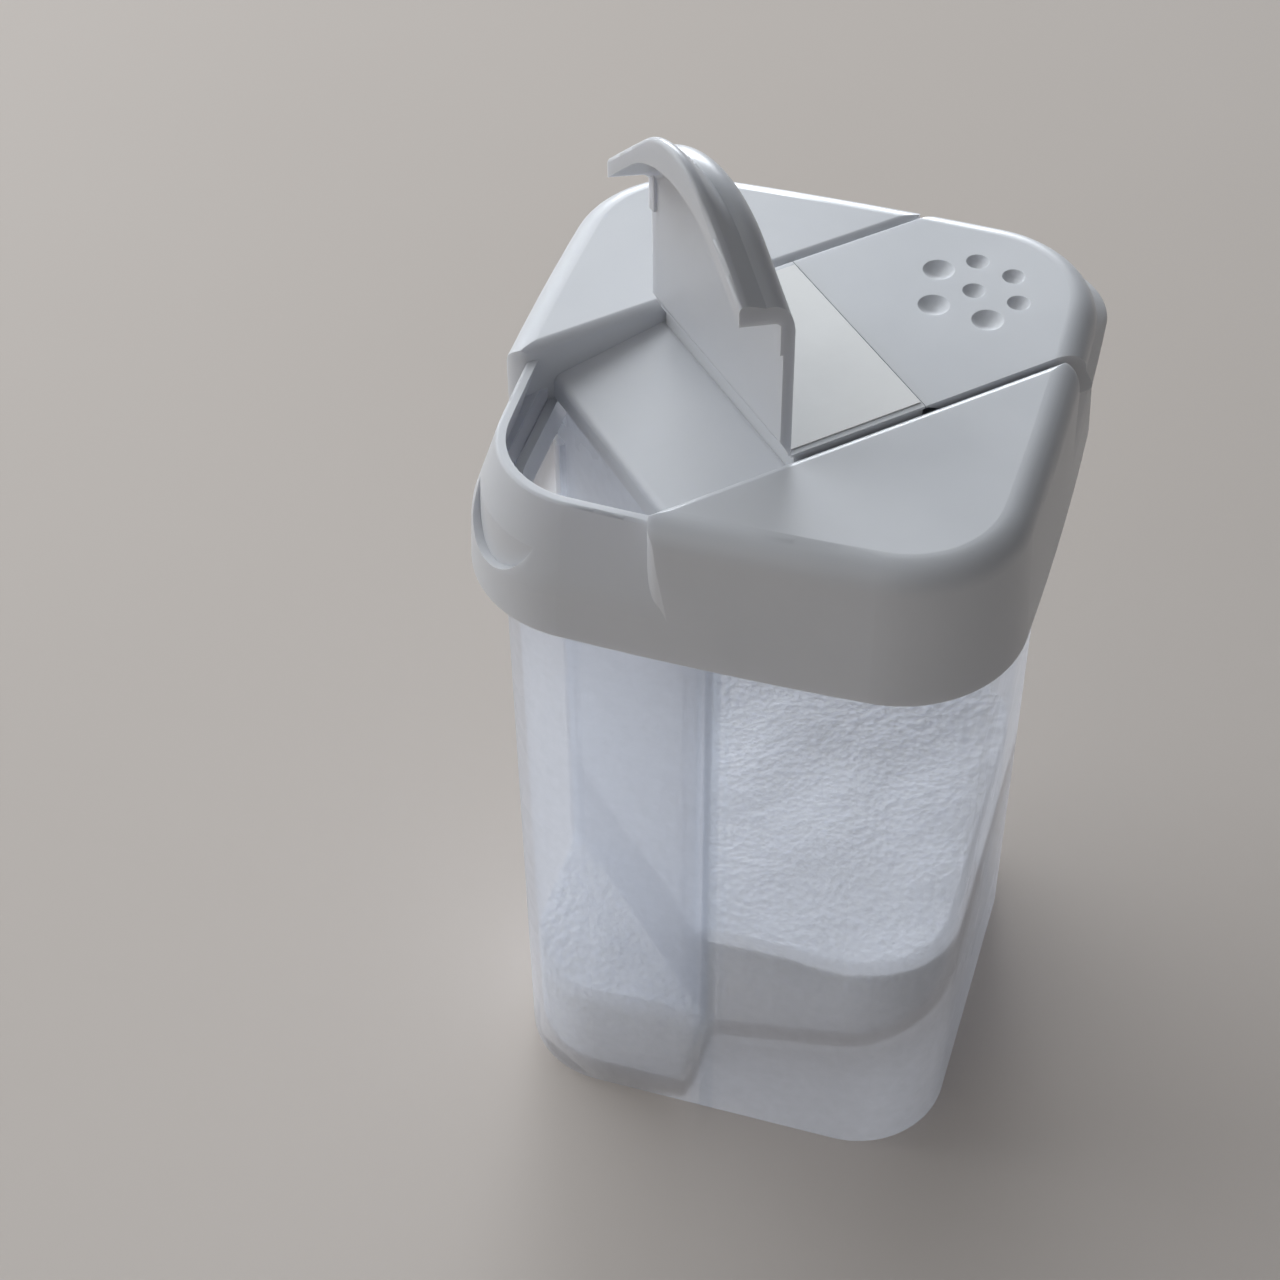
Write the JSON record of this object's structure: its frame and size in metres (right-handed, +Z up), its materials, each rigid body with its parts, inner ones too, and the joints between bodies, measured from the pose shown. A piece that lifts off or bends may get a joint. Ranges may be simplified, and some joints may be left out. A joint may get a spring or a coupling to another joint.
{
  "type": "measuring dispenser bottle",
  "caption": "Square translucent powder bottle with a corner measuring well, a sliding partition and a push-on lid with hinged pour and shaker flaps.",
  "frame": {"origin": "centre of the base, on the surface the bottle stands on", "axes": "+Z up along the bottle, +X to the right along the front face; the pour corner is at -X -Y and the shaker corner at +X +Y"},
  "size_m": [0.07, 0.07, 0.1507],
  "materials": {
    "translucent_plastic": "frosted translucent polypropylene",
    "white_plastic": "satin moulded white polypropylene",
    "label_paper": "plain label tape"
  },
  "bodies": {
    "bottle": {"bottle": "translucent_plastic", "measuring_partition": "translucent_plastic"},
    "lid": {"lid": "white_plastic", "flap_bridge": "white_plastic", "label": "label_paper"},
    "pour_flap": {"pour_flap": "white_plastic"},
    "shaker_flap": {"shaker_flap": "white_plastic"}
  },
  "joints": [
    {"name": "lid_lift", "type": "slide", "parent": "bottle", "child": "lid", "axis": [0, 0, 1], "range_m": [0, 0.04]},
    {"name": "pour_flap_hinge", "type": "hinge", "parent": "lid", "child": "pour_flap", "pos_m": [-0.00651, -0.00651, 0.1153], "axis": [-0.7071, 0.7071, 0], "range_deg": [-90, 10]},
    {"name": "shaker_flap_hinge", "type": "hinge", "parent": "lid", "child": "shaker_flap", "pos_m": [0.00651, 0.00651, 0.1153], "axis": [0.7071, -0.7071, 0], "range_deg": [0, 100]}
  ]
}
